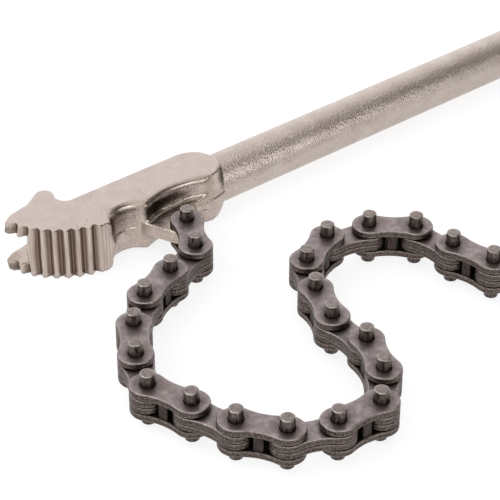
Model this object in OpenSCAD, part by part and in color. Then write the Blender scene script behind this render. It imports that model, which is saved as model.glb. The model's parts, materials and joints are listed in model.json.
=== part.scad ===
// Chain wrench: a toothed jaw head on a round bar, with a flat-plate chain hung from its lug.
// The bar lies along +X, the chain hangs from the -Y side, and the wrench rests on z = 0.
// The origin is on the head's lower ground face, on the bar's axis, square to the anchor pin.

/* [Head] */
// Thickness of the head between its two ground faces
head_t = 19.5; // [18:0.5:26]
// Radius of the boss's round end, which is also half the neck's width
boss_r = 9.1; // [8.9:0.1:12]
// Distance along the bar from the anchor pin to the centre of the boss's round end
boss_x = 17.5; // [14:0.5:26]
// Extra half width that the neck and the boss have at the parting line, from the draft of the die
neck_draft = 1.2; // [0.2:0.1:2]
// Radius of the scoop between the jaw and the lug
scoop_r = 8.9; // [6:0.1:11]
// Distance back along the head from the anchor pin to the middle of that scoop
scoop_x = 17; // [15:0.5:20]
// Depth of that scoop below the neck's front face
scoop_depth = 3.6; // [1:0.1:5]
// Extra breadth that the scoop's wall has at the parting line, from the draft of the die
scoop_draft = 0.7; // [0:0.1:1.5]
// Radius of the long shallow scoop above and below the lug
sweep_r = 30; // [24:1:40]
// Distance along the bar from the anchor pin to the middle of that long scoop
sweep_x = 3.5; // [0:0.5:6]
// Depth of the long scoop below the neck's front face
sweep_depth = 2.4; // [0.5:0.1:3]
// Rounding where the scoops break out into the ground faces
edge_r = 2.1; // [0.4:0.1:2.6]
// Fillet at the foot of the long scoop, where its wall meets the lug
foot_r = 1.6; // [0.5:0.1:2.5]

/* [Teeth] */
// Radius of the tooth row over the tips
row_r = 29.4; // [26:0.1:34]
// Distance back along the head from the anchor pin to the centre of the tooth row
row_x = 24.6; // [23:0.1:27]
// Distance of that centre behind the bar's axis
row_y = 19.1; // [17:0.1:21]
// Number of teeth, with those on the horns
teeth = 8; // [6:1:9]
// Angle from one tooth to the next
tooth_step = 8; // [6:0.5:10]
// Angle of the tooth nearest the lug, measured back from the row's foremost line
tooth_first = 16.5; // [14:0.5:20]
// Depth of the grooves between the teeth
tooth_depth = 1.7; // [0.8:0.1:2.2]
// Width of the land left on each tooth's tip
tooth_tip_w = 0.6; // [0.2:0.1:1.2]

/* [Horns] */
// Height of the slot between the horns
slot_h = 11.2; // [11:0.1:13]
// Room between the edge of a hooked link and the slot's floor
slot_room = 2.4; // [0.5:0.1:3]
// Radius of the seat behind the hook that a chain pin drops into
seat_r = 4; // [3:0.1:5]
// Distance back along the head from the anchor pin to the middle of the seat
seat_x = 27.5; // [26:0.5:31]
// Radius of the hook's round top
hook_r = 3.4; // [1.8:0.1:4]
// Height of the hook's round centre above the seat's centre
hook_rise = 3.9; // [3:0.1:7]
// Distance that the hook's round leans over the seat
hook_lean = 1.1; // [0:0.1:1.5]
// Slope of the ramp up to the hook
ramp_slope = 33; // [30:1:50]
// Height of the ramp's foot above the seat's centre
ramp_base = 3; // [1:0.1:5]
// Slope of the horn's back from the ramp towards the nose
horn_slope = 12; // [8:1:20]
// Radius of the hollow at the foot of the ramp
ramp_r = 7; // [3:0.5:12]
// Distance from the hook's centre to the corner of the nose
nose_run = 15.7; // [12:0.1:17]
// Slope of the nose
nose_slope = 35; // [20:1:45]

/* [Lug] */
// Distance of the anchor pin in front of the bar's axis
anchor_y = 19.6; // [18:0.1:22]
// Angle that each side of the lug flares by
lug_flare = 24; // [12:1:30]
// Step from the lug's round end to its flared sides
lug_step = 0.06; // [0.02:0.01:0.2]

/* [Bar] */
// Length of the bar outside the head
bar_l = 234; // [150:0.5:400]
// Diameter of the bar
bar_d = 17.2; // [14:0.1:17.4]
// Diameter of the tenon that holds the bar in the head
tenon_d = 11; // [8:0.5:12]
// Length of the tenon
tenon_l = 16; // [10:1:20]
// Depth that the bar is turned down by where it sits in the boss
bar_step = 0.2; // [0.1:0.05:0.5]
// Chamfer on the bar's free end
bar_chamfer = 1.5; // [0.5:0.1:3]

/* [Chain] */
// Distance from one chain pin to the next
pitch = 15.875; // [14:0.125:19.05]
// Number of wide links, each with two plates, two pins and a spacer
wide_links = 13; // [2:1:13]
// Diameter of a chain pin
pin_d = 4.8; // [4:0.1:6]
// Length of a pin beyond the plates at each end
pin_proud = 4.3; // [2:0.1:4.4]
// Chamfer on a pin's ends
pin_chamfer = 0.35; // [0.1:0.05:0.8]
// Thickness of one link plate
plate_t = 2.4; // [1.8:0.1:2.5]
// Radius of a link plate's round ends
end_r = 5.9; // [5:0.1:6.4]
// Half the width of a link plate at its waist
waist_r = 4.6; // [4:0.1:4.9]
// Half the width of a spacer
spacer_half_w = 4.1; // [2.5:0.1:4.5]

/* [Fits] */
// Radial clearance of a pin in a plate or lug that turns on it
pin_run = 0.08; // [0.03:0.01:0.1]
// Gap between plates that turn on one another
plate_gap = 0.3; // [0.2:0.05:0.5]
// Gap between the two plates of a narrow link
stack_gap = 0.1; // [0.05:0.05:0.2]
// Gap between a spacer and the round link ends on either side of it
spacer_gap = 0.35; // [0.3:0.05:0.8]

/* [Lay] */
// Direction of the first link, measured from the bar
lay_angle = -117; // [-120:1:-114]

/* [Hidden] */
$fn = 96;
// Length by which a cut runs past the face it opens, and by which joined shapes lap
overcut = 1;
lap = 0.01;
mid = head_t / 2;
pin_r = pin_d / 2;
bar_r = bar_d / 2;

// Turn of each link from the link before it, as the chain is laid out on the table
lay_turns = [
    -42, 0, 20, 15, 11, 43, -1, 17, 30, 19, 50, 23,
    24, -23, -9, -36, -39, -27, -39, 5, 30, 25, 20, 15
];

// Heading of a link, and the place of a pin, both counted from the lug
function heading(k) = k == 0 ? lay_angle : heading(k - 1) + lay_turns[k - 1];
function step(k) = pitch * [cos(heading(k)), sin(heading(k))];
function pin_at(k) = k == 0 ? [0, -anchor_y] : pin_at(k - 1) + step(k - 1);

// Heights in the chain, above and below its middle plane
stack_t = 2 * plate_t + stack_gap;
inside_h = stack_t + 2 * plate_gap;
pin_l = inside_h + 2 * plate_t + 2 * pin_proud;

// Waist arc that runs tangent into both round ends of a link plate
waist_arc = (pitch * pitch / 4 + waist_r * waist_r - end_r * end_r) / (2 * (end_r - waist_r));
blend_x = end_r * (pitch / 2) / (end_r + waist_arc);
blend_y = end_r * (waist_r + waist_arc) / (end_r + waist_arc);
spacer_l = pitch - 2 * (end_r + spacer_gap);

// Places on the head
bar_seat_l = boss_r + neck_draft + bar_step;
bar_seat_r = bar_r - bar_step;
seat_y = boss_r + seat_r;
slot_r = end_r + slot_room;
hook_x = seat_x + seat_r + hook_r - hook_lean;
hook_y = seat_y + hook_rise;
ramp_top = [-hook_x, hook_y] + hook_r * [-sin(ramp_slope), cos(ramp_slope)];
ramp_l = (ramp_top[1] - seat_y - ramp_base) / sin(ramp_slope);
ramp_foot = ramp_top - ramp_l * [cos(ramp_slope), sin(ramp_slope)];
nose = [-hook_x - nose_run, ramp_foot[1] - (ramp_foot[0] + hook_x + nose_run) * tan(horn_slope)];
scoop_y = scoop_depth - boss_r - scoop_r;
sweep_y = sweep_depth - boss_r - sweep_r;
lug_r = end_r;

// Fills an inside corner at p whose two edges leave it at angles a and a + opening
module inside_fillet(p, a, opening, r) {
    reach = r / tan(opening / 2);
    translate(p)
        rotate(a)
            difference() {
                polygon([[0, 0], [reach, 0], [reach, r], reach * [cos(opening), sin(opening)]]);
                translate([reach, r])
                    circle(r);
            }
}

// One groove of the tooth row, cut at angle a behind the row's foremost line
module tooth_groove(a) {
    half_w = (row_r * tooth_step * PI / 180 - tooth_tip_w) / 2;
    rotate(-90 - a)
        polygon([
            [row_r - tooth_depth, 0],
            [row_r + overcut, half_w * (1 + overcut / tooth_depth)],
            [row_r + overcut, -half_w * (1 + overcut / tooth_depth)]
        ]);
}

// Jaw seen from above: the tooth row in front, the horn and its hook behind
module jaw_plan() {
    difference() {
        intersection() {
            translate([-row_x, row_y])
                circle(row_r, $fn = 180);
            union() {
                polygon([
                    [-row_x, row_y - row_r - overcut],
                    [-row_x - row_r - overcut, row_y - row_r - overcut],
                    nose - row_r / 2 * [cos(nose_slope), sin(nose_slope)],
                    nose,
                    ramp_foot,
                    ramp_top,
                    [-hook_x, hook_y],
                    [-hook_x + hook_r, hook_y],
                    [-seat_x - seat_r, seat_y],
                    [-seat_x, seat_y],
                    [-seat_x, boss_r],
                    [-row_x, boss_r]
                ]);
                translate([-hook_x, hook_y])
                    circle(hook_r);
                inside_fillet(ramp_foot, ramp_slope, 180 - ramp_slope + horn_slope, ramp_r);
            }
        }
        translate([-seat_x, seat_y])
            circle(seat_r);
        translate([-row_x, row_y])
            for (i = [0 : teeth - 1])
                tooth_groove(tooth_first + (i - 0.5) * tooth_step);
    }
}

// Half section of the neck and the boss, drafted from the parting line to both ground faces
module neck_section() {
    polygon([
        [0, 0],
        [boss_r, 0],
        [boss_r + neck_draft, mid],
        [boss_r, head_t],
        [0, head_t]
    ]);
}

// Neck and round boss, before the scoops are cut
module neck_blank() {
    translate([-row_x - overcut, 0, 0])
        rotate([90, 0, 90])
            linear_extrude(row_x + overcut + boss_x)
                union() {
                    neck_section();
                    mirror([1, 0])
                        neck_section();
                }
    translate([boss_x, 0, 0])
        rotate(-90)
            rotate_extrude(angle = 180)
                neck_section();
}

// Way for the chain between the horns, with its end around a pin in the seat
module slot_plan() {
    hooked_x = -seat_x - seat_r + pin_r;
    translate([hooked_x, seat_y])
        circle(slot_r);
    translate([hooked_x - 2 * row_r, seat_y - slot_r])
        square([2 * row_r, 4 * slot_r]);
}

// Lug seen from above, with a round end as wide as a link's
module lug_plan() {
    rise = anchor_y - boss_r / 2;
    side_r = lug_r - lug_step;
    spread = side_r * cos(lug_flare) + (rise + side_r * sin(lug_flare)) * tan(lug_flare);
    translate([0, -anchor_y]) {
        circle(lug_r);
        polygon([
            side_r * [-cos(lug_flare), -sin(lug_flare)],
            [-spread, rise],
            [spread, rise],
            side_r * [cos(lug_flare), -sin(lug_flare)]
        ]);
    }
}

// Half profile of the rounding where a scoop of radius r breaks out at height h
module breakout(r, h) {
    translate([r - lap, h - edge_r])
        difference() {
            square([edge_r + lap, edge_r + overcut]);
            translate([edge_r + lap, 0])
                circle(edge_r);
        }
}

// Cutter for the scoop between jaw and lug, through the whole head
module scoop() {
    rotate_extrude($fn = 120) {
        polygon([
            [0, -overcut],
            [scoop_r, -overcut],
            [scoop_r, edge_r],
            [scoop_r - scoop_draft, mid],
            [scoop_r, head_t - edge_r],
            [scoop_r, head_t + overcut],
            [0, head_t + overcut]
        ]);
        breakout(scoop_r, head_t);
        translate([0, head_t])
            mirror([0, 1])
                breakout(scoop_r, head_t);
    }
}

// Cutter for the long scoop, from the lug's face up to the ground face
module sweep() {
    h = mid - stack_t / 2;
    rotate_extrude($fn = 180) {
        difference() {
            square([sweep_r, h + overcut]);
            translate([sweep_r - foot_r, 0])
                difference() {
                    translate([0, -overcut])
                        square([foot_r + overcut, foot_r + overcut]);
                    translate([0, foot_r])
                        circle(foot_r);
                }
        }
        breakout(sweep_r, h);
    }
}

// Forged jaw head, with its teeth, horns, lug and the socket for the bar
module jaw_head() {
    color("#c9beb6")
        difference() {
            union() {
                difference() {
                    union() {
                        linear_extrude(head_t)
                            jaw_plan();
                        neck_blank();
                    }
                    translate([0, 0, mid - slot_h / 2])
                        linear_extrude(slot_h)
                            slot_plan();
                    translate([-scoop_x, scoop_y, 0])
                        scoop();
                    translate([sweep_x, sweep_y, mid + stack_t / 2])
                        sweep();
                    translate([sweep_x, sweep_y, mid - stack_t / 2])
                        mirror([0, 0, 1])
                            sweep();
                }
                translate([0, 0, mid - stack_t / 2])
                    linear_extrude(stack_t)
                        lug_plan();
            }
            translate([0, -anchor_y, -overcut])
                cylinder(h = head_t + 2 * overcut, r = pin_r + pin_run);
            translate([boss_x, 0, mid])
                rotate([0, 90, 0])
                    cylinder(h = 2 * boss_r, r = bar_seat_r);
            translate([boss_x - tenon_l, 0, mid])
                rotate([0, 90, 0])
                    cylinder(h = tenon_l + overcut, r = tenon_d / 2);
        }
}

// Round bar with the tenon that is pressed into the head
module handle_bar() {
    color("#c2b8b0")
        translate([boss_x, 0, mid])
            rotate([0, 90, 0]) {
                translate([0, 0, -tenon_l])
                    cylinder(h = tenon_l + overcut, r = tenon_d / 2);
                cylinder(h = bar_seat_l + overcut, r = bar_seat_r);
                translate([0, 0, bar_seat_l])
                    cylinder(h = bar_l - bar_seat_l - bar_chamfer, r = bar_r);
                translate([0, 0, bar_l - bar_chamfer])
                    cylinder(h = bar_chamfer, r1 = bar_r, r2 = bar_r - bar_chamfer);
            }
}

// Stands a link's own shapes at pin k, along the link and in the chain's middle plane
module at_link(k) {
    translate([pin_at(k)[0], pin_at(k)[1], mid])
        rotate(heading(k))
            children();
}

// One link plate from z = 0 upwards, with holes of radius hole_r at both pins
module link_plate(hole_r) {
    linear_extrude(plate_t)
        difference() {
            union() {
                circle(end_r);
                translate([pitch, 0])
                    circle(end_r);
                difference() {
                    translate([blend_x, -blend_y])
                        square([pitch - 2 * blend_x, 2 * blend_y]);
                    for (side = [-1, 1])
                        translate([pitch / 2, side * (waist_r + waist_arc)])
                            circle(waist_arc, $fn = 180);
                }
            }
            circle(hole_r);
            translate([pitch, 0])
                circle(hole_r);
        }
}

// Top and bottom plates of a wide link
module wide_plates() {
    color("#857b7c") {
        translate([0, 0, inside_h / 2])
            link_plate(pin_r);
        translate([0, 0, -inside_h / 2 - plate_t])
            link_plate(pin_r);
    }
}

// Pair of plates that make up a narrow link
module narrow_plates() {
    color("#6f6666") {
        translate([0, 0, stack_gap / 2])
            link_plate(pin_r + pin_run);
        translate([0, 0, -stack_gap / 2 - plate_t])
            link_plate(pin_r + pin_run);
    }
}

// Both pins of a wide link, chamfered at each end
module link_pins() {
    color("#8f8684")
        for (x = [0, pitch])
            translate([x, 0, -pin_l / 2]) {
                cylinder(h = pin_chamfer, r1 = pin_r - pin_chamfer, r2 = pin_r);
                translate([0, 0, pin_chamfer])
                    cylinder(h = pin_l - 2 * pin_chamfer, r = pin_r);
                translate([0, 0, pin_l - pin_chamfer])
                    cylinder(h = pin_chamfer, r1 = pin_r, r2 = pin_r - pin_chamfer);
            }
}

// Block that keeps a wide link's plates apart, midway between its pins
module link_spacer() {
    color("#6a605f")
        translate([pitch / 2 - spacer_l / 2, -spacer_half_w, -inside_h / 2])
            cube([spacer_l, 2 * spacer_half_w, inside_h]);
}

jaw_head();
handle_bar();
for (i = [1 : wide_links]) {
    at_link(2 * i - 2) wide_plates();
    at_link(2 * i - 2) link_pins();
    at_link(2 * i - 2) link_spacer();
}
for (i = [1 : wide_links - 1])
    at_link(2 * i - 1) narrow_plates();
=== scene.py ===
import json
import math
import bmesh
import bpy
import numpy as np
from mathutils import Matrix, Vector


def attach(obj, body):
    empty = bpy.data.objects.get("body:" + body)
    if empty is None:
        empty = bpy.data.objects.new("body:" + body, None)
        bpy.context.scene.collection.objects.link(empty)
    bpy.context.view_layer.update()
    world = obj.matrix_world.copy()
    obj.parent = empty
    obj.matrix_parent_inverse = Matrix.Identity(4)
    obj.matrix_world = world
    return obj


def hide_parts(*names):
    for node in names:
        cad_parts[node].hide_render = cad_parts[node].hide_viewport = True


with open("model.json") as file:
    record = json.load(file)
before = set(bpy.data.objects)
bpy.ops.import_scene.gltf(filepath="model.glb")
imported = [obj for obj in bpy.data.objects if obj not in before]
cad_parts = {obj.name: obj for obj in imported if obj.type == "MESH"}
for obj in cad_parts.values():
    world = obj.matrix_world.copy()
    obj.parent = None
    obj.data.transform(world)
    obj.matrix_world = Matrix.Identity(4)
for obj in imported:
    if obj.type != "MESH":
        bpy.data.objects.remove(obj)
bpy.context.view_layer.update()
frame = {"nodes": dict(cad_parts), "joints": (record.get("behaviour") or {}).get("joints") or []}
nodes = frame["nodes"]
scene = bpy.context.scene
mm = 0.001

# a Mix node's sockets go by number, because their names repeat
mixShare, valueA, valueB, colourA, colourB, colourOut = 0, 2, 3, 6, 7, 2


def hexColour(code):
    # sRGB hex to linear
    parts = [int(code[i:i + 2], 16) / 255 for i in (1, 3, 5)]
    return [c / 12.92 if c <= 0.04045 else ((c + 0.055) / 1.055) ** 2.4 for c in parts] + [1.0]


def perMm(size):
    # texture scale for a pattern of this size in mm
    return 1 / mm / size


def addNode(tree, kind, wires=None, **settings):
    # a wire is another node's output or a fixed value
    node = tree.nodes.new(kind)
    for key, value in settings.items():
        setattr(node, key, value)
    for socket, source in (wires or {}).items():
        if isinstance(source, bpy.types.NodeSocket):
            tree.links.new(source, node.inputs[socket])
        else:
            node.inputs[socket].default_value = source
    return node.outputs


def newObject(name, mesh):
    piece = bpy.data.objects.new(name, mesh)
    scene.collection.objects.link(piece)
    return piece


def newMaterial(name):
    material = bpy.data.materials.new(name)
    material.use_nodes = True
    material.node_tree.nodes.clear()
    return material, material.node_tree


# Camera, at the photograph's place
cameraSetup = {
    "place": (-333.2 * mm, -466.0 * mm, 393.3 * mm),
    "towards": (0.5142, 0.6359, -0.5755),
    "lens": 141.5,
    "sensor": 36.0,
    "nearest": 0.01,
    "farthest": 50.0,
}
cameraData = bpy.data.cameras.new("photoCamera")
cameraData.lens = cameraSetup["lens"]
cameraData.sensor_width = cameraSetup["sensor"]
cameraData.clip_start = cameraSetup["nearest"]
cameraData.clip_end = cameraSetup["farthest"]
camera = bpy.data.objects.new("photoCamera", cameraData)
camera.location = cameraSetup["place"]
camera.rotation_mode = "QUATERNION"
camera.rotation_quaternion = Vector(cameraSetup["towards"]).to_track_quat("-Z", "Y")
scene.collection.objects.link(camera)
scene.camera = camera
print("camera set")


# Finishes
forgingLook = {
    # the darkest colour is painted shade in corners and recesses and wear at the horns' ends; the
    # groove colour is stain and painted shade in the tooth gaps
    "ground": "#c8bbb4", "groundDull": "#bbada6", "wall": "#cabbb2", "wallDull": "#9c8c82",
    "milled": "#c9bbb2", "milledDull": "#a99a90", "groove": "#6a5447", "shadeAndWear": "#32261f",
    "pit": "#7d6b61",
    # sizes in mm
    "mottle": 5.0, "blast": 0.6, "polish": 0.5, "pitSize": 1.0, "pitPatch": 11.0,
    "cutWidth": 0.6, "cutLength": 12.0, "cornerShadeReach": 4.0, "reliefHeight": 0.28,
    "middle": 9.75, "groundFrom": 9.1,
    # where each tone starts and is full
    "flatFrom": 0.93, "flatTo": 0.995, "mottleFrom": 0.36, "mottleTo": 0.66,
    "cutFrom": 0.35, "cutTo": 0.68, "pitFrom": 0.72, "pitTo": 0.78,
    "patchFrom": 0.45, "patchTo": 0.58, "grooveFrom": 0.15, "grooveTo": 0.9,
    "cornerShadeFrom": 0.7, "cornerShadeTo": 0.4, "hollowFrom": 0.8, "hollowTo": 1.55,
    # the most that each darkening covers (stain and painted shade in the tooth gaps, painted shade
    # in corners and recesses, wear at the horns' ends), and how far the blasted grain breaks it up
    "grooveMost": 0.9, "cornerShadeMost": 0.8, "hollowMost": 0.94,
    "mottleGrain": 0.5, "cornerShadeGrain": 0.3, "hollowGrain": 1.2,
    "wallRough": 0.22, "groundRough": 0.34, "mottleRough": 0.07,
    "wallDepth": 0.32, "smoothDepth": 0.07, "pitDepth": -1.5,
}


def satinNickelForging():
    # satin nickel plate on a shot-blasted steel forging: the ground faces are smooth and pale with
    # a few pits, the teeth show fine cutter lines, the blasted walls sparkle, and dark brown is
    # painted in as shade in the corners and recesses, with real stain and painted shade in the
    # tooth gaps and wear at the horns' ends
    look = forgingLook
    material, tree = newMaterial("satin nickel on blasted forging")
    coords = addNode(tree, "ShaderNodeTexCoord")
    place = coords["Object"]
    # the ground faces are the level ones at the top and the bottom
    facing = addNode(tree, "ShaderNodeSeparateXYZ", {0: coords["Normal"]})[2]
    level = addNode(tree, "ShaderNodeMath", {0: facing}, operation="ABSOLUTE")[0]
    level = addNode(tree, "ShaderNodeMapRange", {
        "Value": level, "From Min": look["flatFrom"], "From Max": look["flatTo"]})[0]
    height = addNode(tree, "ShaderNodeSeparateXYZ", {0: place})[2]
    ground = addNode(tree, "ShaderNodeMath", {
        0: height, 1: look["middle"] * mm}, operation="SUBTRACT")[0]
    ground = addNode(tree, "ShaderNodeMath", {0: ground}, operation="ABSOLUTE")[0]
    ground = addNode(tree, "ShaderNodeMath", {
        0: ground, 1: look["groundFrom"] * mm}, operation="GREATER_THAN")[0]
    level = addNode(tree, "ShaderNodeMath", {0: level, 1: ground}, operation="MULTIPLY")[0]
    groove = addNode(tree, "ShaderNodeAttribute", attribute_name="groove")["Fac"]
    hollow = addNode(tree, "ShaderNodeAttribute", attribute_name="hollow")["Fac"]
    milled = addNode(tree, "ShaderNodeAttribute", attribute_name="milled")["Fac"]
    cutScale = (perMm(look["cutWidth"]), perMm(look["cutWidth"]), perMm(look["cutLength"]))
    stretched = addNode(tree, "ShaderNodeMapping", {"Vector": place, "Scale": cutScale})[0]
    cuts = addNode(tree, "ShaderNodeTexNoise", {
        "Vector": stretched, "Scale": 1.0, "Detail": 3.0, "Roughness": 0.6})[0]
    blast = addNode(tree, "ShaderNodeTexNoise", {
        "Vector": place, "Scale": perMm(look["blast"]), "Detail": 3.0, "Roughness": 0.7})[0]
    polish = addNode(tree, "ShaderNodeTexNoise", {
        "Vector": place, "Scale": perMm(look["polish"]), "Detail": 3.0, "Roughness": 0.6})[0]
    mottle = addNode(tree, "ShaderNodeTexNoise", {
        "Vector": place, "Scale": perMm(look["mottle"]), "Detail": 5.0, "Roughness": 0.6})[0]
    mottle = addNode(tree, "ShaderNodeMix", {
        mixShare: look["mottleGrain"], valueA: mottle, valueB: blast})[0]
    mottle = addNode(tree, "ShaderNodeMapRange", {
        "Value": mottle, "From Min": look["mottleFrom"], "From Max": look["mottleTo"]})[0]
    topColour = addNode(tree, "ShaderNodeMix", {
        mixShare: mottle, colourA: hexColour(look["ground"]),
        colourB: hexColour(look["groundDull"])}, data_type="RGBA")[colourOut]
    wallColour = addNode(tree, "ShaderNodeMix", {
        mixShare: mottle, colourA: hexColour(look["wall"]),
        colourB: hexColour(look["wallDull"])}, data_type="RGBA")[colourOut]
    cutTone = addNode(tree, "ShaderNodeMapRange", {
        "Value": cuts, "From Min": look["cutFrom"], "From Max": look["cutTo"]})[0]
    cutColour = addNode(tree, "ShaderNodeMix", {
        mixShare: cutTone, colourA: hexColour(look["milled"]),
        colourB: hexColour(look["milledDull"])}, data_type="RGBA")[colourOut]
    wallColour = addNode(tree, "ShaderNodeMix", {
        mixShare: milled, colourA: wallColour, colourB: cutColour}, data_type="RGBA")[colourOut]
    colour = addNode(tree, "ShaderNodeMix", {
        mixShare: level, colourA: wallColour, colourB: topColour}, data_type="RGBA")[colourOut]
    # pits come in loose patches
    pit = addNode(tree, "ShaderNodeTexNoise", {
        "Vector": place, "Scale": perMm(look["pitSize"]), "Detail": 1.0})[0]
    pit = addNode(tree, "ShaderNodeMapRange", {
        "Value": pit, "From Min": look["pitFrom"], "From Max": look["pitTo"]})[0]
    patch = addNode(tree, "ShaderNodeTexNoise", {
        "Vector": place, "Scale": perMm(look["pitPatch"]), "Detail": 1.0})[0]
    patch = addNode(tree, "ShaderNodeMapRange", {
        "Value": patch, "From Min": look["patchFrom"], "From Max": look["patchTo"]})[0]
    pit = addNode(tree, "ShaderNodeMath", {0: pit, 1: patch}, operation="MULTIPLY")[0]
    colour = addNode(tree, "ShaderNodeMix", {
        mixShare: pit, colourA: colour, colourB: hexColour(look["pit"])},
        data_type="RGBA")[colourOut]
    # darkening in the tooth gaps, the corners and the hollows, broken up by the blasted grain:
    # stain and painted shade in the tooth gaps, painted shade in the corners and hollows, wear at
    # the horns' ends
    grooveStainAndShade = addNode(tree, "ShaderNodeMapRange", {
        "Value": groove, "From Min": look["grooveFrom"], "From Max": look["grooveTo"],
        "To Max": look["grooveMost"]})[0]
    colour = addNode(tree, "ShaderNodeMix", {
        mixShare: grooveStainAndShade, colourA: colour,
        colourB: hexColour(look["groove"])}, data_type="RGBA")[colourOut]
    # painted shade: the colour darkens where ambient occlusion finds other surfaces near, in
    # corners and recesses
    cornerShade = addNode(tree, "ShaderNodeAmbientOcclusion", {
        "Distance": look["cornerShadeReach"] * mm}, samples=8)["AO"]
    cornerShade = addNode(tree, "ShaderNodeMath", {
        0: blast, 1: look["cornerShadeGrain"], 2: cornerShade}, operation="MULTIPLY_ADD")[0]
    cornerShade = addNode(tree, "ShaderNodeMapRange", {
        "Value": cornerShade, "From Min": look["cornerShadeFrom"], "From Max": look["cornerShadeTo"],
        "To Max": look["cornerShadeMost"]})[0]
    # painted shade in the recesses and at the boss's end, with wear at the horns' ends, on the
    # walls only
    walled = addNode(tree, "ShaderNodeMath", {0: 1.0, 1: level}, operation="SUBTRACT")[0]
    hollow = addNode(tree, "ShaderNodeMath", {0: hollow, 1: walled}, operation="MULTIPLY")[0]
    hollow = addNode(tree, "ShaderNodeMath", {
        0: blast, 1: look["hollowGrain"], 2: hollow}, operation="MULTIPLY_ADD")[0]
    hollow = addNode(tree, "ShaderNodeMapRange", {
        "Value": hollow, "From Min": look["hollowFrom"], "From Max": look["hollowTo"],
        "To Max": look["hollowMost"]})[0]
    # painted corner shade and the darkened spots share one dark colour
    cornerShade = addNode(tree, "ShaderNodeMath", {0: cornerShade, 1: hollow}, operation="MAXIMUM")[0]
    colour = addNode(tree, "ShaderNodeMix", {
        mixShare: cornerShade, colourA: colour,
        colourB: hexColour(look["shadeAndWear"])}, data_type="RGBA")[colourOut]
    rough = addNode(tree, "ShaderNodeMapRange", {
        "Value": level, "To Min": look["wallRough"], "To Max": look["groundRough"]})[0]
    rough = addNode(tree, "ShaderNodeMath", {
        0: mottle, 1: look["mottleRough"], 2: rough}, operation="MULTIPLY_ADD")[0]
    smoothed = addNode(tree, "ShaderNodeMath", {0: level, 1: milled}, operation="MAXIMUM")[0]
    depth = addNode(tree, "ShaderNodeMapRange", {
        "Value": smoothed, "To Min": look["wallDepth"], "To Max": look["smoothDepth"]})[0]
    grain = addNode(tree, "ShaderNodeMix", {mixShare: level, valueA: blast, valueB: polish})[0]
    grain = addNode(tree, "ShaderNodeMix", {mixShare: milled, valueA: grain, valueB: cuts})[0]
    grain = addNode(tree, "ShaderNodeMath", {
        0: pit, 1: look["pitDepth"], 2: grain}, operation="MULTIPLY_ADD")[0]
    relief = addNode(tree, "ShaderNodeBump", {
        "Strength": depth, "Distance": look["reliefHeight"] * mm, "Height": grain})[0]
    shader = addNode(tree, "ShaderNodeBsdfPrincipled", {
        "Base Color": colour, "Metallic": 1.0, "Roughness": rough, "Normal": relief})[0]
    addNode(tree, "ShaderNodeOutputMaterial", {"Surface": shader})
    return material


barLook = {
    "pale": "#c8bcb5", "dull": "#b4a59c",
    # sizes in mm
    "dashWidth": 0.5, "dashLength": 1.2, "dashDepth": 0.36, "cloud": 9.0,
    "dashInTone": 0.5, "toneFrom": 0.35, "toneTo": 0.65,
    "cloudFrom": 0.2, "cloudTo": 0.8, "roughLeast": 0.27, "roughMost": 0.35,
}


def satinNickelBar():
    # satin nickel plate on ground bar: short grinding dashes round the bar glitter where light
    # turns to dark, drawn a little coarser than life so that they show
    look = barLook
    material, tree = newMaterial("satin nickel on ground bar")
    place = addNode(tree, "ShaderNodeTexCoord")["Object"]
    dashScale = (perMm(look["dashWidth"]), perMm(look["dashLength"]), perMm(look["dashLength"]))
    stretched = addNode(tree, "ShaderNodeMapping", {"Vector": place, "Scale": dashScale})[0]
    dashes = addNode(tree, "ShaderNodeTexNoise", {
        "Vector": stretched, "Scale": 1.0, "Detail": 2.0, "Roughness": 0.6})[0]
    cloud = addNode(tree, "ShaderNodeTexNoise", {
        "Vector": place, "Scale": perMm(look["cloud"]), "Detail": 5.0, "Roughness": 0.6})[0]
    tone = addNode(tree, "ShaderNodeMix", {
        mixShare: look["dashInTone"], valueA: cloud, valueB: dashes})[0]
    tone = addNode(tree, "ShaderNodeMapRange", {
        "Value": tone, "From Min": look["toneFrom"], "From Max": look["toneTo"]})[0]
    colour = addNode(tree, "ShaderNodeMix", {
        mixShare: tone, colourA: hexColour(look["pale"]),
        colourB: hexColour(look["dull"])}, data_type="RGBA")[colourOut]
    rough = addNode(tree, "ShaderNodeMapRange", {
        "Value": cloud, "From Min": look["cloudFrom"], "From Max": look["cloudTo"],
        "To Min": look["roughLeast"], "To Max": look["roughMost"]})[0]
    relief = addNode(tree, "ShaderNodeBump", {
        "Strength": 1.0, "Distance": look["dashDepth"] * mm, "Height": dashes})[0]
    shader = addNode(tree, "ShaderNodeBsdfPrincipled", {
        "Base Color": colour, "Metallic": 1.0, "Roughness": rough, "Normal": relief})[0]
    addNode(tree, "ShaderNodeOutputMaterial", {"Surface": shader})
    return material


# Oiled steel of the chain, sizes in mm: the rubbed tone is wear lightened as a painted
# highlight, and the tone where pieces meet is painted shade
plateLook = {
    "pale": "#a89c9c", "dark": "#807575", "brown": "#86756d", "wallDark": "#1a1412",
    "wallPale": "#85776f", "rust": "#6a4c39", "rubbedHighlight": "#c4bab7", "contactShade": "#2a2220",
    "mottle": 2.2, "cloud": 8.0, "fleck": 0.75, "tearLength": 0.75, "tearHeight": 0.34,
    "rough": 0.34,
}
pinLook = {
    "pale": "#988d89", "dark": "#6d6360", "brown": "#8d786c", "wallDark": "#2d2523",
    "wallPale": "#857974", "rust": "#5d493d", "rubbedHighlight": "#c6bdb8", "contactShade": "#1d1716",
    "mottle": 1.4, "cloud": 9.0, "fleck": 0.6, "tearLength": 0.5, "tearHeight": 2.0,
    "rough": 0.22,
}
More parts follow.
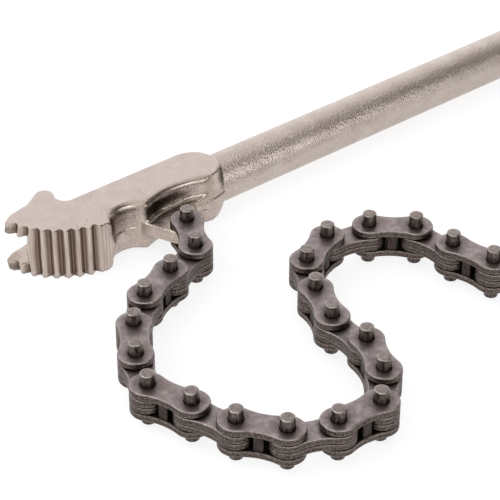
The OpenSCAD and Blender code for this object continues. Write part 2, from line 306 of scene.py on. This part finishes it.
# the spacer's tones are darker than the plates' to paint the shade it sits in between them
spacerLook = {
    "pale": "#6f6462", "dark": "#4d4442", "brown": "#6b5448", "wallDark": "#261f1d",
    "wallPale": "#524845", "rust": "#4c382c", "rubbedHighlight": "#6f6561", "contactShade": "#1d1716",
    "mottle": 1.8, "cloud": 5.0, "fleck": 0.6, "tearLength": 0.5, "tearHeight": 1.6,
    "rough": 0.42,
}
# what the three share: where each tone starts and is full, and the most that it covers
oiledLook = {
    "faceFrom": 0.3, "faceTo": 0.72, "castFrom": 0.52, "castTo": 0.72, "castMost": 0.6,
    "wallFrom": 0.38, "wallTo": 0.68, "rustFrom": 0.6, "rustTo": 0.75, "rustMost": 0.6,
    "wornHighlightFrom": 0.38, "wornHighlightTo": 0.62, "wornHighlightLeast": 0.1,
    "contactShadeReach": 4.0, "contactShadeFrom": 0.85, "contactShadeTo": 0.3, "contactShadeMost": 0.75,
    "roughFrom": 0.25, "roughTo": 0.75, "roughRise": 0.14,
    "faceDepth": 0.16, "wallDepth": 0.8, "reliefHeight": 0.2,
}


def oiledSteel(name, ownLook):
    # oiled carbon steel with a dark heat-treated skin: grey faces with a brown cast, dull sheared
    # walls with torn streaks, edges rubbed bright by the other links and lightened further as a
    # painted highlight, and painted shade where pieces meet
    look = {**oiledLook, **ownLook}
    material, tree = newMaterial(name)
    place = addNode(tree, "ShaderNodeTexCoord")["Object"]
    rubbedHighlight = addNode(tree, "ShaderNodeAttribute", attribute_name="rubbedHighlight")["Fac"]
    sheared = addNode(tree, "ShaderNodeAttribute", attribute_name="sheared")["Fac"]
    mottle = addNode(tree, "ShaderNodeTexNoise", {
        "Vector": place, "Scale": perMm(look["mottle"]), "Detail": 5.0, "Roughness": 0.62})[0]
    cloud = addNode(tree, "ShaderNodeTexNoise", {
        "Vector": place, "Scale": perMm(look["cloud"]), "Detail": 3.0})[0]
    fleck = addNode(tree, "ShaderNodeTexNoise", {
        "Vector": place, "Scale": perMm(look["fleck"]), "Detail": 4.0, "Roughness": 0.7})[0]
    tearScale = (perMm(look["tearLength"]), perMm(look["tearLength"]), perMm(look["tearHeight"]))
    stretched = addNode(tree, "ShaderNodeMapping", {"Vector": place, "Scale": tearScale})[0]
    tears = addNode(tree, "ShaderNodeTexNoise", {
        "Vector": stretched, "Scale": 1.0, "Detail": 5.0, "Roughness": 0.72})[0]
    faceTone = addNode(tree, "ShaderNodeMapRange", {
        "Value": mottle, "From Min": look["faceFrom"], "From Max": look["faceTo"]})[0]
    face = addNode(tree, "ShaderNodeMix", {
        mixShare: faceTone, colourA: hexColour(look["pale"]),
        colourB: hexColour(look["dark"])}, data_type="RGBA")[colourOut]
    cast = addNode(tree, "ShaderNodeMapRange", {
        "Value": cloud, "From Min": look["castFrom"], "From Max": look["castTo"],
        "To Max": look["castMost"]})[0]
    face = addNode(tree, "ShaderNodeMix", {
        mixShare: cast, colourA: face, colourB: hexColour(look["brown"])},
        data_type="RGBA")[colourOut]
    wallTone = addNode(tree, "ShaderNodeMapRange", {
        "Value": tears, "From Min": look["wallFrom"], "From Max": look["wallTo"]})[0]
    wall = addNode(tree, "ShaderNodeMix", {
        mixShare: wallTone, colourA: hexColour(look["wallDark"]),
        colourB: hexColour(look["wallPale"])}, data_type="RGBA")[colourOut]
    rust = addNode(tree, "ShaderNodeMapRange", {
        "Value": fleck, "From Min": look["rustFrom"], "From Max": look["rustTo"],
        "To Max": look["rustMost"]})[0]
    wall = addNode(tree, "ShaderNodeMix", {
        mixShare: rust, colourA: wall, colourB: hexColour(look["rust"])},
        data_type="RGBA")[colourOut]
    colour = addNode(tree, "ShaderNodeMix", {
        mixShare: sheared, colourA: face, colourB: wall}, data_type="RGBA")[colourOut]
    # rubbed edges: real wear, lightened further as a painted highlight
    wornHighlight = addNode(tree, "ShaderNodeMapRange", {
        "Value": fleck, "From Min": look["wornHighlightFrom"], "From Max": look["wornHighlightTo"],
        "To Min": look["wornHighlightLeast"]})[0]
    wornHighlight = addNode(tree, "ShaderNodeMath", {0: wornHighlight, 1: rubbedHighlight}, operation="MULTIPLY")[0]
    colour = addNode(tree, "ShaderNodeMix", {
        mixShare: wornHighlight, colourA: colour, colourB: hexColour(look["rubbedHighlight"])},
        data_type="RGBA")[colourOut]
    # painted shade: darker where ambient occlusion finds other pieces near, where the links meet
    cornerShade = addNode(tree, "ShaderNodeAmbientOcclusion", {
        "Distance": look["contactShadeReach"] * mm}, samples=8)["AO"]
    cornerShade = addNode(tree, "ShaderNodeMapRange", {
        "Value": cornerShade, "From Min": look["contactShadeFrom"], "From Max": look["contactShadeTo"],
        "To Max": look["contactShadeMost"]})[0]
    colour = addNode(tree, "ShaderNodeMix", {
        mixShare: cornerShade, colourA: colour, colourB: hexColour(look["contactShade"])},
        data_type="RGBA")[colourOut]
    rough = addNode(tree, "ShaderNodeMapRange", {
        "Value": mottle, "From Min": look["roughFrom"], "From Max": look["roughTo"],
        "To Min": look["rough"], "To Max": look["rough"] + look["roughRise"]})[0]
    height = addNode(tree, "ShaderNodeMix", {mixShare: sheared, valueA: fleck, valueB: tears})[0]
    depth = addNode(tree, "ShaderNodeMapRange", {
        "Value": sheared, "To Min": look["faceDepth"], "To Max": look["wallDepth"]})[0]
    relief = addNode(tree, "ShaderNodeBump", {
        "Strength": depth, "Distance": look["reliefHeight"] * mm, "Height": height})[0]
    shader = addNode(tree, "ShaderNodeBsdfPrincipled", {
        "Base Color": colour, "Metallic": 1.0, "Roughness": rough, "Normal": relief})[0]
    addNode(tree, "ShaderNodeOutputMaterial", {"Surface": shader})
    return material


forgingFinish = satinNickelForging()
barFinish = satinNickelBar()
plateFinish = oiledSteel("oiled pressed steel", plateLook)
pinFinish = oiledSteel("oiled turned steel", pinLook)
spacerFinish = oiledSteel("oiled cut steel", spacerLook)
print("finishes made")


def carry(piece, body, stoodFor):
    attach(piece, body)
    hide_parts(stoodFor)


# Jaw head, sizes in mm: the forging's edges are softened, its teeth hardly, its scoop most
headForm = {
    "voxel": 0.26, "mergeWithin": 0.002, "flatWithin": 0.02, "uprightBelow": 0.4, "middle": 9.75,
    # turns of smoothing, and how far a point goes to its neighbours' mean in each
    "soften": 6, "softenTeeth": 1, "softenLug": 13, "softenBrink": 36, "softenScoop": 85,
    "softenRidge": 36, "softenShare": 0.5,
    # the toothed arc, then the walls in front of the neck with the lug and its ridge
    "row": (-24.6, 19.1), "rowRadius": 29.4, "grooveDepth": 1.7, "rowMargin": 0.5,
    "rowFront": 15.1, "rowEnd": -24.0, "teethEnd": -20.0,
    "front": -4.0, "scoopEnd": -24.0, "brinkFrom": 5.5, "lugHalf": 2.6,
    "ridge": (-9.4, -9.7), "ridgeReach": 3.6, "ridgeFoot": -11.0,
    "plugRadius": 8.2, "plugFrom": -1.0, "plugTo": 25.0, "plugSegments": 96,
    "hornFrom": -46.0, "hornRun": 5.0, "hornDraft": 1.6,
    "bossFrom": 19.0, "bossRun": 4.0, "bossDraft": 2.0,
    # step at the parting, with the stretch along the lug where there is none
    "partStep": 0.34, "partFrom": 10.3, "partRise": 0.45, "partBase": 1.0, "partFade": 6.0,
    "partEnd": -25.5, "partGap": (-5.0, 11.0),
    # darkened spots: middle, reach, strength; each is full near its middle and then falls off.
    # The spots in the neck's recesses and at the boss's end are painted shade, the two at the
    # horns' ends are wear
    "spotFull": 1.45, "spotFall": 1.3,
    "hollows": [
        ((-5.0, -8.2, 15.7), (9.5, 3.8, 4.2), 1.0), ((2.4, -7.2, 15.3), (11.5, 3.4, 3.8), 0.92),
        ((-14.0, -9.0, 14.5), (4.0, 3.5, 4.5), 0.4), ((-7.5, -14.0, 12.6), (4.5, 6.0, 1.6), 0.55),
        ((-23.6, -8.6, 14.8), (3.2, 3.4, 5.5), 0.9), ((23.6, -7.4, 15.2), (3.2, 3.4, 6.2), 1.0),
        ((-52.0, 10.5, 16.6), (3.2, 3.5, 2.6), 0.6), ((-52.0, 10.5, 1.8), (3.2, 3.5, 2.4), 0.7),
    ],
}


def voxelHead():
    form = headForm
    bm = bmesh.new()
    bm.from_mesh(nodes["jaw_head"].data)
    bmesh.ops.remove_doubles(bm, verts=bm.verts, dist=form["mergeWithin"] * mm)
    # the bar's socket is filled, because the bar covers it
    plug = bmesh.ops.create_cone(
        bm, cap_ends=True, segments=form["plugSegments"], radius1=form["plugRadius"] * mm,
        radius2=form["plugRadius"] * mm, depth=(form["plugTo"] - form["plugFrom"]) * mm)["verts"]
    for vert in plug:
        along = vert.co.z + (form["plugTo"] + form["plugFrom"]) / 2 * mm
        vert.co = (along, vert.co.y, form["middle"] * mm + vert.co.x)
    rough = bpy.data.meshes.new("headRough")
    bm.to_mesh(rough)
    bm.free()
    carrier = newObject("headCarrier", rough)
    remesh = carrier.modifiers.new("voxels", "REMESH")
    remesh.mode = "VOXEL"
    remesh.voxel_size = form["voxel"] * mm
    graph = bpy.context.evaluated_depsgraph_get()
    mesh = bpy.data.meshes.new_from_object(carrier.evaluated_get(graph))
    bpy.data.objects.remove(carrier)
    bpy.data.meshes.remove(rough)
    return mesh


def softForging():
    form = headForm
    mesh = voxelHead()
    count = len(mesh.vertices)
    places = np.empty(count * 3, dtype=np.float32)
    mesh.vertices.foreach_get("co", places)
    places = places.reshape(-1, 3).astype(np.float64) / mm
    normals = np.empty(count * 3, dtype=np.float32)
    mesh.vertex_normals.foreach_get("vector", normals)
    normals = normals.reshape(-1, 3)
    ends = np.empty(len(mesh.edges) * 2, dtype=np.int32)
    mesh.edges.foreach_get("vertices", ends)
    first = np.concatenate([ends[0::2], ends[1::2]])
    second = np.concatenate([ends[1::2], ends[0::2]])
    near = np.bincount(first, minlength=count)

    # how often each place is smoothed
    x, y, z = places.T
    offMiddle = np.abs(z - form["middle"])
    upright = np.abs(normals[:, 2]) < form["uprightBelow"]
    fromRow = np.hypot(x - form["row"][0], y - form["row"][1])
    inRow = fromRow > form["rowRadius"] - form["grooveDepth"] - form["rowMargin"]
    inRow &= y < form["rowFront"]
    neck = (y < form["front"]) & (x > form["scoopEnd"])
    brink = neck & (offMiddle > form["brinkFrom"])
    onRidge = np.hypot(x - form["ridge"][0], y - form["ridge"][1]) < form["ridgeReach"]
    turns = np.full(count, form["soften"])
    turns[neck] = form["softenLug"]
    turns[brink & (x < form["bossFrom"])] = form["softenBrink"]
    turns[brink & (x < form["ridgeFoot"])] = form["softenScoop"]
    turns[inRow & (x < form["teethEnd"])] = form["softenTeeth"]
    turns[onRidge & (offMiddle > form["lugHalf"])] = form["softenRidge"]

    # where the finish is milled, and where it darkens: stain and painted shade in the tooth gaps,
    # painted shade in the recesses and wear at the horns' ends
    milled = (inRow & (x < form["rowEnd"]) & upright).astype(float)
    groove = np.clip((form["rowRadius"] - fromRow) / form["grooveDepth"], 0, 1) * milled
    hollow = np.zeros(count)
    for spot, reach, strength in form["hollows"]:
        away = np.sqrt(sum(((v - c) / r) ** 2 for v, c, r in zip((x, y, z), spot, reach)))
        shadeAndWear = strength * np.clip(form["spotFull"] - form["spotFall"] * away, 0, 1)
        # a darkened spot stays on its own side of the ridge
        side = np.sign(spot[0] - form["ridgeFoot"])
        shadeAndWear *= np.clip((x - form["ridgeFoot"]) * side, 0, 1)
        hollow = np.maximum(hollow, shadeAndWear)

    # the lower die sits a little proud of the upper one, so the parting shows as a step
    step = np.clip((form["partFrom"] - z) / form["partRise"], 0, 1)
    step *= np.clip((z - form["partBase"]) / form["partFade"], 0, 1)
    stepped = (x > form["partEnd"]) & (x < form["partGap"][0]) | (x > form["partGap"][1])
    step *= upright * (y < 0) * (1 - milled) * stepped

    done = 0
    for stop in np.unique(turns):
        moving = np.flatnonzero(turns >= stop)
        slotOf = np.full(count, -1)
        slotOf[moving] = np.arange(len(moving))
        kept = slotOf[first] >= 0
        here, there = slotOf[first[kept]], second[kept]
        for turn in range(done, stop):
            mean = np.stack([np.bincount(here, places[there, i], minlength=len(moving))
                             for i in range(3)], 1) / near[moving, None]
            places[moving] += form["softenShare"] * (mean - places[moving])
        done = stop
    places += normals * (form["partStep"] * step)[:, None]
    # the boss is fullest where the bar goes in
    offShare = np.clip(offMiddle / form["middle"], 0, 1)
    share = np.clip((places[:, 0] - form["bossFrom"]) / form["bossRun"], 0, 1)
    places[:, 0] += share * form["bossDraft"] * np.sqrt(1 - offShare ** 2)
    # the horns' ends keep the draft of the die
    share = np.clip((form["hornFrom"] - places[:, 0]) / form["hornRun"], 0, 1)
    places[:, 0] -= share * form["hornDraft"] * (1 - offShare)

    mesh.vertices.foreach_set("co", (places * mm).astype(np.float32).ravel())
    for name, values in (("groove", groove), ("hollow", hollow), ("milled", milled)):
        layer = mesh.attributes.new(name, "FLOAT", "POINT")
        layer.data.foreach_set("value", values.astype(np.float32))
    mesh.polygons.foreach_set("use_smooth", np.ones(len(mesh.polygons), dtype=bool))
    mesh.update()
    # the ground faces need few polygons and stay unsmoothed
    bm = bmesh.new()
    bm.from_mesh(mesh)
    limit = (form["middle"] - form["flatWithin"]) * mm
    flats = [f for f in bm.faces
             if all(abs(v.co.z - form["middle"] * mm) > limit for v in f.verts)]
    for face in flats:
        face.smooth = False
    bmesh.ops.dissolve_faces(bm, faces=flats, use_verts=False)
    finished = bpy.data.meshes.new("jaw_head_forging")
    bm.to_mesh(finished)
    bm.free()
    bpy.data.meshes.remove(mesh)
    finished.materials.clear()
    finished.materials.append(forgingFinish)
    return newObject("jaw_head_forging", finished)


head = softForging()
carry(head, "wrench", "jaw_head")
headTriangles = sum(len(f.vertices) - 2 for f in head.data.polygons)
print("head:", len(head.data.polygons), "faces,", headTriangles, "triangles")


sharpFrom = math.radians(28)  # an edge of a turned piece is sharp past this angle


def turned(name, profile, segments, axis, rubbedHighlightRings=(), shearedRings=()):
    # a closed turned shape from (along, radius) pairs in mm; the listed rings carry the rubbed
    # wear with its painted highlight, and the sheared wall
    bm = bmesh.new()
    rubbedHighlight = bm.verts.layers.float.new("rubbedHighlight")
    sheared = bm.verts.layers.float.new("sheared")
    rings = []
    for index, (along, radius) in enumerate(profile):
        ring = []
        for i in range(1 if radius == 0 else segments):
            angle = 2 * math.pi * i / segments
            u, v = radius * math.cos(angle) * mm, radius * math.sin(angle) * mm
            vert = bm.verts.new((along * mm, u, v) if axis == "x" else (u, v, along * mm))
            vert[rubbedHighlight] = 1.0 if index in rubbedHighlightRings else 0.0
            vert[sheared] = 1.0 if index in shearedRings else 0.0
            ring.append(vert)
        rings.append(ring)
    for low, high in zip(rings, rings[1:]):
        for i in range(segments):
            j = (i + 1) % segments
            corners = [low[i % len(low)], low[j % len(low)],
                       high[j % len(high)], high[i % len(high)]]
            bm.faces.new(list(dict.fromkeys(corners))).smooth = True
    bmesh.ops.recalc_face_normals(bm, faces=bm.faces)
    mesh = bpy.data.meshes.new(name)
    bm.to_mesh(mesh)
    bm.free()
    mesh.set_sharp_from_angle(angle=sharpFrom)
    return newObject(name, mesh)


# Bar, sizes in mm: turned seat in the boss, plain rod, softened chamfer at the free end
barForm = {
    "tenonFrom": 1.5, "shoulder": 17.5, "seatTo": 20.0, "end": 251.5,
    "tenonRadius": 5.5, "seatRadius": 8.4, "radius": 8.6, "segments": 144, "middle": 9.75,
    # beyond the seat, and from the free end: along, change of radius
    "lip": [(0.1, -0.08), (0.3, 0.0)],
    "freeEnd": [(-1.75, 0.0), (-1.5, -0.0875), (-0.25, -1.35), (-0.075, -1.55), (0.0, -1.75)],
}


def makeBar():
    form = barForm
    tenon, seat, rod = form["tenonRadius"], form["seatRadius"], form["radius"]
    profile = [
        (form["tenonFrom"], 0), (form["tenonFrom"], tenon), (form["shoulder"], tenon),
        (form["shoulder"], seat), (form["seatTo"], seat),
    ]
    profile += [(form["seatTo"] + along, rod + change) for along, change in form["lip"]]
    profile += [(form["end"] + along, rod + change) for along, change in form["freeEnd"]]
    profile.append((form["end"], 0))
    bar = turned("handle_bar_ground", profile, form["segments"], "x")
    for vert in bar.data.vertices:
        vert.co.z += form["middle"] * mm
    bar.data.materials.append(barFinish)
    return bar


bar = makeBar()
carry(bar, "wrench", "handle_bar")
print("bar:", len(bar.data.polygons), "faces")


# Link plate, sizes in mm: pressed outline with rolled edges and a torn band round its wall
plateForm = {
    "pitch": 15.875, "endRadius": 5.9, "waist": 4.6,
    "endSteps": 30, "waistSteps": 12, "holeSteps": 40, "holeTorn": 0.7,
    # height up the wall, inset from the outline, rubbed wear with painted highlight, sheared
    "wall": [
        (0.0, 0.5, 0.0, 1.0), (0.05, 0.26, 0.0, 1.0), (0.17, 0.08, 0.3, 1.0),
        (0.36, 0.0, 0.25, 1.0), (1.0, 0.0, 0.0, 1.0), (1.12, 0.07, 0.0, 1.0),
        (1.26, 0.01, 0.0, 1.0), (1.82, 0.0, 0.0, 1.0), (2.1, 0.06, 0.1, 0.9),
        (2.28, 0.17, 0.75, 0.5), (2.37, 0.34, 0.45, 0.0), (2.4, 0.52, 0.0, 0.0),
    ],
    # height up the hole, spread beyond it
    "hole": [(0.0, 0.12), (0.12, 0.0), (2.15, 0.0), (2.32, 0.1), (2.4, 0.28)],
}


def plateOutline(inset):
    # two round ends and, tangent to them, two hollow waists
    form = plateForm
    pitch, endRadius, waist = form["pitch"], form["endRadius"], form["waist"]
    arc = (pitch ** 2 / 4 + waist ** 2 - endRadius ** 2) / (2 * (endRadius - waist))
    lean = math.atan2(waist + arc, pitch / 2)
    points = []
    for cx, cy, radius, start, stop, steps in (
            (0, 0, endRadius - inset, lean, 2 * math.pi - lean, form["endSteps"]),
            (pitch / 2, -waist - arc, arc + inset, math.pi - lean, lean, form["waistSteps"]),
            (pitch, 0, endRadius - inset, lean - math.pi, math.pi - lean, form["endSteps"]),
            (pitch / 2, waist + arc, arc + inset, -lean, lean - math.pi, form["waistSteps"])):
        for i in range(steps):
            angle = start + (stop - start) * i / steps
            points.append((cx + radius * math.cos(angle), cy + radius * math.sin(angle)))
    return points


def holeOutline(cx, radius):
    steps = [2 * math.pi * i / plateForm["holeSteps"] for i in range(plateForm["holeSteps"])]
    return [(cx + radius * math.cos(a), radius * math.sin(a)) for a in steps]


def pressedPlate(name, holeRadius):
    form = plateForm
    bm = bmesh.new()
    rubbedHighlight = bm.verts.layers.float.new("rubbedHighlight")
    sheared = bm.verts.layers.float.new("sheared")

    def addRing(points, height, wear, torn):
        ring = []
        for x, y in points:
            vert = bm.verts.new((x * mm, y * mm, height * mm))
            vert[rubbedHighlight], vert[sheared] = wear, torn
            ring.append(vert)
        return ring

    loops = [[addRing(plateOutline(inset), height, wear, torn)
              for height, inset, wear, torn in form["wall"]]]
    for cx in (0, form["pitch"]):
        loops.append([addRing(holeOutline(cx, holeRadius + spread), height, 0.0, form["holeTorn"])
                      for height, spread in form["hole"]])
    for rings in loops:
        for low, high in zip(rings, rings[1:]):
            for i in range(len(low)):
                bm.faces.new((low[i - 1], low[i], high[i], high[i - 1])).smooth = True
    for side in (0, -1):
        rims = [rings[side] for rings in loops]
        edges = [bm.edges.get((rim[i - 1], rim[i])) for rim in rims for i in range(len(rim))]
        bmesh.ops.triangle_fill(bm, edges=edges, use_beauty=True)  # flat faces stay unsmoothed
    bmesh.ops.recalc_face_normals(bm, faces=bm.faces)
    mesh = bpy.data.meshes.new(name)
    bm.to_mesh(mesh)
    bm.free()
    return newObject(name, mesh)


# Chain pin, sizes in mm: turned and cut off, with a small chamfer, rubbed and lightened as a
# painted highlight
pinForm = {
    "radius": 2.4, "run": 0.08, "length": 18.9, "segments": 40,
    # dished end, chamfer and start of the shank: along, radius
    "cutEnd": [(0.0, 0), (0.03, 1.08), (0.0, 1.98), (0.05, 2.15), (0.18, 2.33), (0.45, 2.4)],
    "rubbedHighlightRings": (3, 4, 7, 8), "shearedRings": (5, 6),
}


def makePin():
    form = pinForm
    half = form["length"] / 2
    profile = [(along - half, radius) for along, radius in form["cutEnd"]]
    profile += [(half - along, radius) for along, radius in reversed(form["cutEnd"])]
    return turned("pinShape", profile, form["segments"], "z",
                  form["rubbedHighlightRings"], form["shearedRings"])


# Spacer block between a wide link's plates, sizes in mm
spacerForm = {
    "length": 3.375, "width": 8.2, "height": 5.5, "soft": 0.4, "softSegments": 3,
    "rubbedHighlight": 0.2, "sheared": 1.0,
}


def makeSpacer():
    form = spacerForm
    bm = bmesh.new()
    bmesh.ops.create_cube(bm, size=mm)
    for vert in bm.verts:
        x, y, z = vert.co
        vert.co = (x * form["length"], y * form["width"], z * form["height"])
    upright = [e for e in bm.edges
               if abs(e.verts[0].co.z - e.verts[1].co.z) > form["height"] * mm / 2]
    bmesh.ops.bevel(bm, geom=upright, offset=form["soft"] * mm, segments=form["softSegments"],
                    profile=0.5, affect="EDGES")
    rubbedHighlight = bm.verts.layers.float.new("rubbedHighlight")
    sheared = bm.verts.layers.float.new("sheared")
    for vert in bm.verts:
        vert[rubbedHighlight], vert[sheared] = form["rubbedHighlight"], form["sheared"]
    mesh = bpy.data.meshes.new("spacerShape")
    bm.to_mesh(mesh)
    bm.free()
    return newObject("spacerShape", mesh)


widePlate = pressedPlate("widePlateShape", pinForm["radius"])
narrowPlate = pressedPlate("narrowPlateShape", pinForm["radius"] + pinForm["run"])
chainPin = makePin()
spacerBlock = makeSpacer()
print("link shapes:", len(widePlate.data.polygons), "faces a plate,",
      len(chainPin.data.polygons), "a pin")


def linkTree():
    # lays copies of one shape along a line, then turns and moves them to their link
    tree = bpy.data.node_groups.new("copiesOnLink", "GeometryNodeTree")
    face = tree.interface
    sockets = {}
    for label, kind in (("Shape", "Object"), ("Copies", "Int"), ("First", "Vector"),
                        ("Step", "Vector"), ("Turn", "Vector"), ("Heading", "Float"),
                        ("Place", "Vector"), ("Finish", "Material")):
        socket = face.new_socket(label, in_out="INPUT", socket_type="NodeSocket" + kind)
        sockets[label] = socket.identifier
    face.new_socket("Geometry", in_out="OUTPUT", socket_type="NodeSocketGeometry")
    given = addNode(tree, "NodeGroupInput")
    shape = addNode(tree, "GeometryNodeObjectInfo", {"Object": given["Shape"]})["Geometry"]
    line = addNode(tree, "GeometryNodeMeshLine", {
        "Count": given["Copies"], "Start Location": given["First"],
        "Offset": given["Step"]}, mode="OFFSET")[0]
    index = addNode(tree, "GeometryNodeInputIndex")[0]
    turn = addNode(tree, "ShaderNodeVectorMath", {
        0: given["Turn"], "Scale": index}, operation="SCALE")[0]
    turn = addNode(tree, "FunctionNodeEulerToRotation", {0: turn})[0]
    copies = addNode(tree, "GeometryNodeInstanceOnPoints", {
        "Points": line, "Instance": shape, "Rotation": turn})[0]
    heading = addNode(tree, "ShaderNodeCombineXYZ", {"Z": given["Heading"]})[0]
    heading = addNode(tree, "FunctionNodeEulerToRotation", {0: heading})[0]
    placed = addNode(tree, "GeometryNodeTransform", {
        "Geometry": copies, "Translation": given["Place"], "Rotation": heading})[0]
    realized = addNode(tree, "GeometryNodeRealizeInstances", {0: placed})[0]
    finished = addNode(tree, "GeometryNodeSetMaterial", {
        "Geometry": realized, "Material": given["Finish"]})[0]
    addNode(tree, "NodeGroupOutput", {0: finished})
    return tree, sockets


copiesOnLink, linkSockets = linkTree()


def layCopies(name, values):
    carrier = newObject(name + "_carrier", bpy.data.meshes.new(name + "_carrier"))
    modifier = carrier.modifiers.new("copies", "NODES")
    modifier.node_group = copiesOnLink
    for label, value in values.items():
        modifier[linkSockets[label]] = value
    graph = bpy.context.evaluated_depsgraph_get()
    mesh = bpy.data.meshes.new_from_object(carrier.evaluated_get(graph))
    bpy.data.objects.remove(carrier)
    mesh.name = name
    return newObject(name, mesh)


# Chain, sizes in mm: the joints say where each pin stands, and the next pin gives the heading
chainForm = {"insideHeight": 5.5, "stackGap": 0.1, "lastTurn": 15.0}
pinPlaces = [Vector(joint["pos_m"]) for joint in frame["joints"]]


def linkHeading(index):
    if index + 1 < len(pinPlaces):
        run = pinPlaces[index + 1] - pinPlaces[index]
        return math.atan2(run.y, run.x)
    return linkHeading(index - 1) + math.radians(chainForm["lastTurn"])


def makeChain():
    pitch = plateForm["pitch"] * mm
    flip = (math.pi, 0.0, 0.0)
    still = (0.0, 0.0, 0.0)
    for index, joint in enumerate(frame["joints"]):
        body = joint["child"]
        spot = {"Heading": linkHeading(index), "Place": tuple(pinPlaces[index])}
        wide = body.startswith("wide")
        lift = chainForm["insideHeight" if wide else "stackGap"] / 2 * mm
        # the second plate is the first one turned over
        plates = layCopies(body + "_pressed", {
            "Shape": widePlate if wide else narrowPlate, "Copies": 2, "First": (0.0, 0.0, lift),
            "Step": (0.0, 0.0, -2 * lift), "Turn": flip, "Finish": plateFinish, **spot})
        carry(plates, body, body + "_plates")
        if wide:
            pins = layCopies(body + "_turned", {
                "Shape": chainPin, "Copies": 2, "First": still, "Step": (pitch, 0.0, 0.0),
                "Turn": still, "Finish": pinFinish, **spot})
            carry(pins, body, body + "_pins")
            block = layCopies(body + "_block", {
                "Shape": spacerBlock, "Copies": 1, "First": (pitch / 2, 0.0, 0.0), "Step": still,
                "Turn": still, "Finish": spacerFinish, **spot})
            carry(block, body, body + "_spacer")


makeChain()
for shape in (widePlate, narrowPlate, chainPin, spacerBlock):
    bpy.data.objects.remove(shape)
print("chain laid:", len(pinPlaces), "links")


# Stage, sizes in metres: a white sweep that keeps a faint shadow, white surroundings, two grey
# cards that give the bar its dark band, and four softboxes
stageForm = {
    "floorSize": 8.0, "floorDrop": 0.02 * mm, "glow": 0.82, "shadowPaper": 0.25, "paper": 0.8,
    "aim": (0.06, -0.02, 0.01),
    "cards": {
        "greyCard": {"place": (0.6, -0.42, 0.72), "size": (1.3, 0.75), "grey": "#6c6157"},
        "sideCard": {"place": (0.98, -0.74, 0.28), "size": (0.86, 0.6), "grey": "#404040"},
    },
    # a level of 1 is as bright as the white surroundings
    "softboxes": {
        "backSoftbox": {"place": (0.64, 0.72, 0.4), "size": (1.0, 0.72), "level": 0.25},
        "frontSoftbox": {"place": (0.1, -0.8, 0.4), "size": (0.96, 0.24), "level": 2.15},
        "leftSoftbox": {"place": (-0.62, 0.1, 0.72), "size": (0.5, 0.5), "level": 1.8},
        "horizonSoftbox": {"place": (0.62, 0.95, 0.11), "size": (1.4, 0.2), "level": 0.7},
    },
}


def aimed(holder, place):
    holder.location = place
    holder.rotation_mode = "QUATERNION"
    towards = Vector(stageForm["aim"]) - Vector(place)
    holder.rotation_quaternion = towards.to_track_quat("-Z", "Y")
    return holder


def makeFloor():
    form = stageForm
    bpy.ops.mesh.primitive_plane_add(size=form["floorSize"], location=(0, 0, -form["floorDrop"]))
    floor = bpy.context.object
    floor.name = "floor"
    material, tree = newMaterial("white paper sweep")
    # seen directly or in metal the paper glows white, for the rest it is plain paper
    seen = addNode(tree, "ShaderNodeLightPath")
    shown = addNode(tree, "ShaderNodeMath", {
        0: seen["Is Camera Ray"], 1: seen["Is Glossy Ray"]}, operation="MAXIMUM")[0]
    shown = addNode(tree, "ShaderNodeMath", {
        0: shown, 1: seen["Is Transmission Ray"]}, operation="MAXIMUM")[0]
    faint = addNode(tree, "ShaderNodeBsdfDiffuse", {
        "Color": [form["shadowPaper"]] * 3 + [1.0]})[0]
    glow = addNode(tree, "ShaderNodeEmission", {"Strength": form["glow"]})[0]
    white = addNode(tree, "ShaderNodeAddShader", {0: glow, 1: faint})[0]
    paper = addNode(tree, "ShaderNodeBsdfDiffuse", {"Color": [form["paper"]] * 3 + [1.0]})[0]
    surface = addNode(tree, "ShaderNodeMixShader", {0: shown, 1: paper, 2: white})[0]
    addNode(tree, "ShaderNodeOutputMaterial", {"Surface": surface})
    floor.data.materials.append(material)


def makeCard(name, form):
    bpy.ops.mesh.primitive_plane_add(size=1.0)
    card = aimed(bpy.context.object, form["place"])
    card.scale = (form["size"][0], form["size"][1], 1.0)
    card.name = name
    card.visible_camera = False
    material, tree = newMaterial(name + " paint")
    paint = addNode(tree, "ShaderNodeBsdfDiffuse", {"Color": hexColour(form["grey"])})[0]
    addNode(tree, "ShaderNodeOutputMaterial", {"Surface": paint})
    card.data.materials.append(material)


def softbox(name, form):
    lamp = bpy.data.lights.new(name, "AREA")
    lamp.shape = "RECTANGLE"
    lamp.size, lamp.size_y = form["size"]
    lamp.energy = form["level"] * math.pi * lamp.size * lamp.size_y
    scene.collection.objects.link(aimed(bpy.data.objects.new(name, lamp), form["place"]))


def whiteWorld():
    world = bpy.data.worlds.new("whiteTent")
    world.use_nodes = True
    tree = world.node_tree
    tree.nodes.clear()
    white = addNode(tree, "ShaderNodeBackground", {
        "Color": (1.0, 1.0, 1.0, 1.0), "Strength": 1.0})[0]
    addNode(tree, "ShaderNodeOutputWorld", {"Surface": white})
    scene.world = world


makeFloor()
for name, form in stageForm["cards"].items():
    makeCard(name, form)
for name, form in stageForm["softboxes"].items():
    softbox(name, form)
whiteWorld()
scene.view_settings.view_transform = "Standard"
print("stage set")
